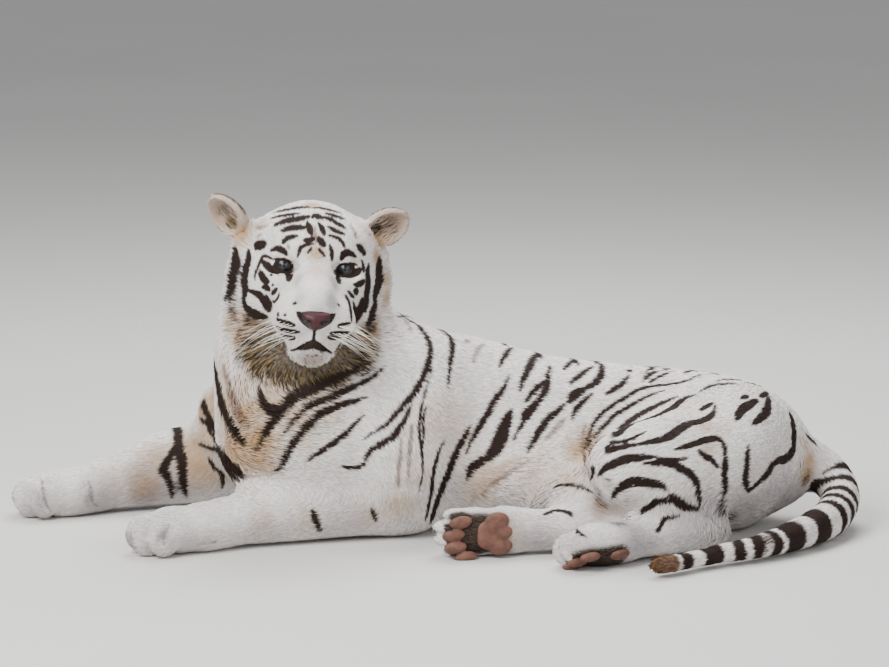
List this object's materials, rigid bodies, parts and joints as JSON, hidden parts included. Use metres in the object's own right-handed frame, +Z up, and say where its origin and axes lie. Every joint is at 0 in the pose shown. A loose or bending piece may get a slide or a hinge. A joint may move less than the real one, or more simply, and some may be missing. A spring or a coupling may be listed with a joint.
{
  "type": "lying tiger model",
  "caption": "Life-size white tiger lying on its belly with the hips rolled over, head raised and turned to the side, forelegs stretched out and tail curled round the haunch.",
  "frame": {"origin": "on the floor, under the middle of the model's outline", "axes": "+X along the back from the head end to the rump, -Y the way the tiger faces, +Z up"},
  "size_m": [1.7254, 0.7482, 0.6891],
  "materials": {
    "coat_white": "short fur",
    "eye": "wet gloss",
    "nose_leather": "moist satin"
  },
  "bodies": {
    "root": {"belly": "coat_white", "chest": "coat_white", "ear_left": "coat_white", "ear_right": "coat_white", "eye_left": "eye", "eye_right": "eye", "foreleg_left_lower": "coat_white", "foreleg_left_upper": "coat_white", "foreleg_right_lower": "coat_white", "foreleg_right_upper": "coat_white", "forepaw_left": "coat_white", "forepaw_right": "coat_white", "head": "coat_white", "hindfoot_left": "coat_white", "hindfoot_right": "coat_white", "hindpaw_left": "coat_white", "hindpaw_right": "coat_white", "hips": "coat_white", "neck": "coat_white", "nose": "nose_leather", "shank_left": "coat_white", "tail_base": "coat_white", "tail_end": "coat_white", "tail_middle": "coat_white", "tail_tip": "coat_white", "thigh_left": "coat_white", "thigh_right": "coat_white"}
  },
  "joints": []
}
